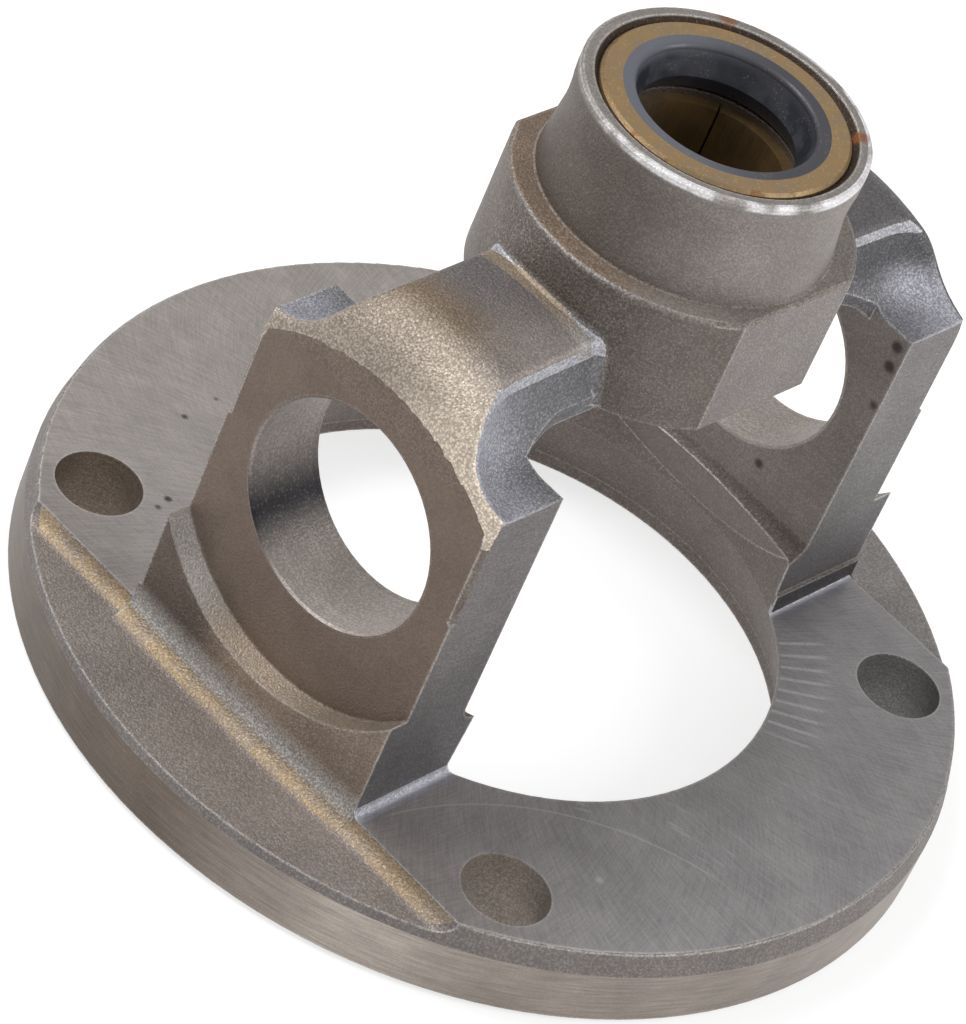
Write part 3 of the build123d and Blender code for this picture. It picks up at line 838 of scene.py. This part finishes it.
gloss = web.blend(cut, FORGED_ROUGHNESS, CUT_ROUGHNESS)
gloss = web.math("MULTIPLY_ADD", bright, -0.2, gloss)
web.put(steel_shader.inputs["Roughness"], gloss)
skin = web.node("ShaderNodeBump", {
    "Strength": web.blend(lined, 1.0, 0.2), "Distance": GRAIN_HEIGHT, "Height": grain["Facets"],
})
web.put(steel_shader.inputs["Normal"], skin.outputs[0])
print("nodes in the steel:", len(steel.node_tree.nodes))

# %% [markdown]
# ## The seal and the bushing
#
# The seal is a pressed steel cup with rubber bonded in it. Years of storage left a thin ochre film on
# the cup. The bushing is a wrapped bronze strip, dark with age and darker on the side away from light.
# Its lines run along the strip, which was drawn through rolls before it was wrapped.

# %% Finish the bushing
BUSHING_RADIUS = 10.0

bronze, web, shader, place = finish("aged_bronze", 0.55, 0.45)
x, y, z = web.split(place)
wall_run = web.math("MULTIPLY", web.math("ARCTAN2", y, x), BUSHING_RADIUS)
drawn = web.effect(lines_effect, Across=wall_run, Along=z, Pitch=0.3, Run=8.0)
patina = web.ramp(web.noise(place, 0.25, detail=3.0), 0.35, 0.65)
tone = web.mix(web.above(x, 0.0, 12.0), paint(138, 128, 128), paint(136, 108, 68))
tone = web.mix(web.math("MULTIPLY", patina, 0.4), tone, paint(72, 60, 46))
tone = web.mix(web.ramp(drawn["Height"], 0.35, 0.75, 0.0, 0.4), tone, paint(150, 128, 96))
web.put(shader.inputs["Base Color"], tone)
relief = {"Strength": 0.5, "Distance": 0.00005, "Height": drawn["Height"]}
web.put(shader.inputs["Normal"], web.node("ShaderNodeBump", relief).outputs[0])
print("bronze nodes:", len(bronze.node_tree.nodes))

# %% Finish the seal's case
case_steel, web, shader, place = finish("case_steel", 0.45, 0.42)
x, y, z = web.split(place)
case_reach = web.vector("LENGTH", web.join(x, y, 0.0))
film = web.ramp(web.noise(place, 0.35, detail=4.0, roughness=0.6), 0.3, 0.7)
tone = web.mix(film, paint(160, 130, 88), paint(144, 124, 96))
case_grain = web.effect(grain_effect, Place=place, Grain=0.3)
rust_patches = web.above(web.noise(place, 0.5, detail=3.0), 0.60, 0.08)
rust = web.both(web.above(case_reach, 15.9, 0.4), rust_patches)
tone = web.mix(web.math("MULTIPLY", rust, 0.7), tone, paint(130, 84, 44))
tone = web.mix(web.math("MULTIPLY", case_grain["Specks"], 0.25), tone, paint(205, 190, 165))
web.put(shader.inputs["Base Color"], tone)
web.put(shader.inputs["Roughness"], web.ramp(film, 0.0, 1.0, 0.38, 0.52))
relief = {"Strength": 0.4, "Distance": 0.00006, "Height": case_grain["Height"]}
web.put(shader.inputs["Normal"], web.node("ShaderNodeBump", relief).outputs[0])
print("case nodes:", len(case_steel.node_tree.nodes))

# %% [markdown]
# Rubber that has lain for years gets a grey bloom, and grit sticks to its grease in patches. Its mouth
# is lighter, because it faces up and catches the lamp from the left. The spring behind the lip is
# bright under its oil.

# %% Finish the rubber and the spring
MOUTH_HEIGHT = 94.2

rubber, web, shader, place = finish("rubber", 0.0, 0.42)
dust = web.effect(grain_effect, Place=place, Grain=0.22)
x, y, z = web.split(place)
bloom = web.ramp(dust["Clouds"], 0.4, 0.65)
tone = web.mix(bloom, paint(44, 46, 54), paint(62, 63, 70))
mouth = web.above(z, MOUTH_HEIGHT, 1.2)
mouth_light = web.ramp(web.math("SUBTRACT", y, x), -12.0, 12.0)
mouth_tone = web.mix(mouth_light, paint(62, 62, 68), paint(94, 96, 104))
tone = web.mix(mouth, tone, mouth_tone)
grit = web.both(dust["Specks"], web.above(web.noise(place, 0.4), 0.56))
tone = web.mix(web.math("MULTIPLY", grit, 0.6), tone, paint(120, 116, 110))
web.put(shader.inputs["Base Color"], tone)
web.put(shader.inputs["Roughness"], web.ramp(bloom, 0.0, 1.0, 0.36, 0.55))
relief = {"Strength": 0.3, "Distance": 0.00004, "Height": dust["Height"]}
web.put(shader.inputs["Normal"], web.node("ShaderNodeBump", relief).outputs[0])

spring_steel, web, shader, place = finish("spring_steel", 0.9, 0.35)
oiled = web.noise(place, 0.8, detail=2.0)
web.put(shader.inputs["Base Color"], web.mix(oiled, paint(120, 116, 110), paint(160, 156, 150)))
print("rubber nodes:", len(rubber.node_tree.nodes))

# %% Assign the finishes
finishes = {
    "yoke": steel,
    "centering_bushing": bronze,
    "seal_case": case_steel,
    "seal_lip": rubber,
    "garter_spring": spring_steel,
}
for name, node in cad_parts.items():
    node.data.materials[0] = finishes[name]
    print(name, "is", node.data.materials[0].name)
